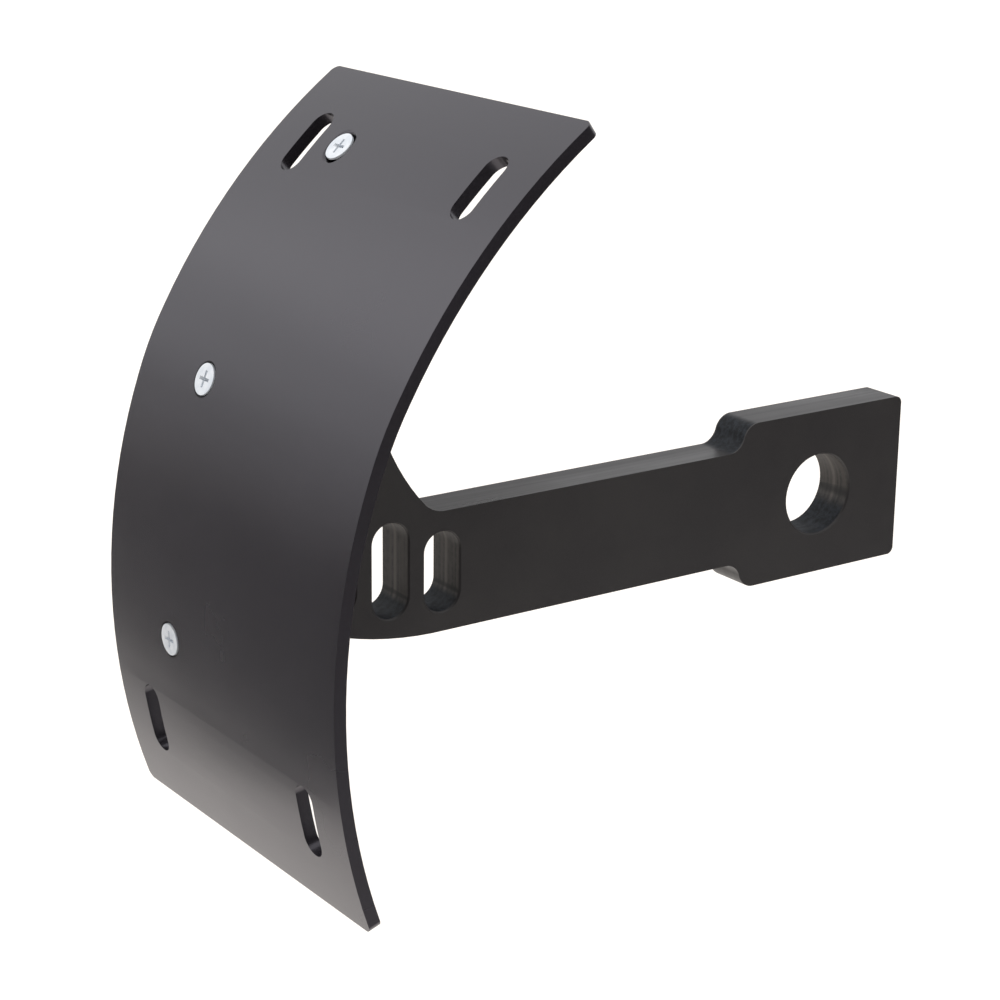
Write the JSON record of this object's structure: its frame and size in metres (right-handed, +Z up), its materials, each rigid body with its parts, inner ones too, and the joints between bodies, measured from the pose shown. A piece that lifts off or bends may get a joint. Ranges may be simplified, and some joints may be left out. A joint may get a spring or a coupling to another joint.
{
  "type": "swingarm license plate bracket",
  "caption": "Side-mount license plate bracket: a curved plate with slots, screwed to a slotted flat arm with an axle bore in its head.",
  "frame": {"origin": "centre of the axle bore, halfway through the arm's thickness", "axes": "+Y along the axle from the plate's wide side across the arm, -X along the arm to the plate, +Z up when mounted"},
  "size_m": [0.2207, 0.1014, 0.1694],
  "materials": {
    "plate_anodised": "satin dark grey anodised sheet",
    "arm_anodised": "satin black anodised, milled",
    "screw_zinc": "bright zinc plated"
  },
  "bodies": {
    "root": {"backing_plate": "plate_anodised", "axle_arm": "arm_anodised", "plate_screws": "screw_zinc"}
  },
  "joints": []
}
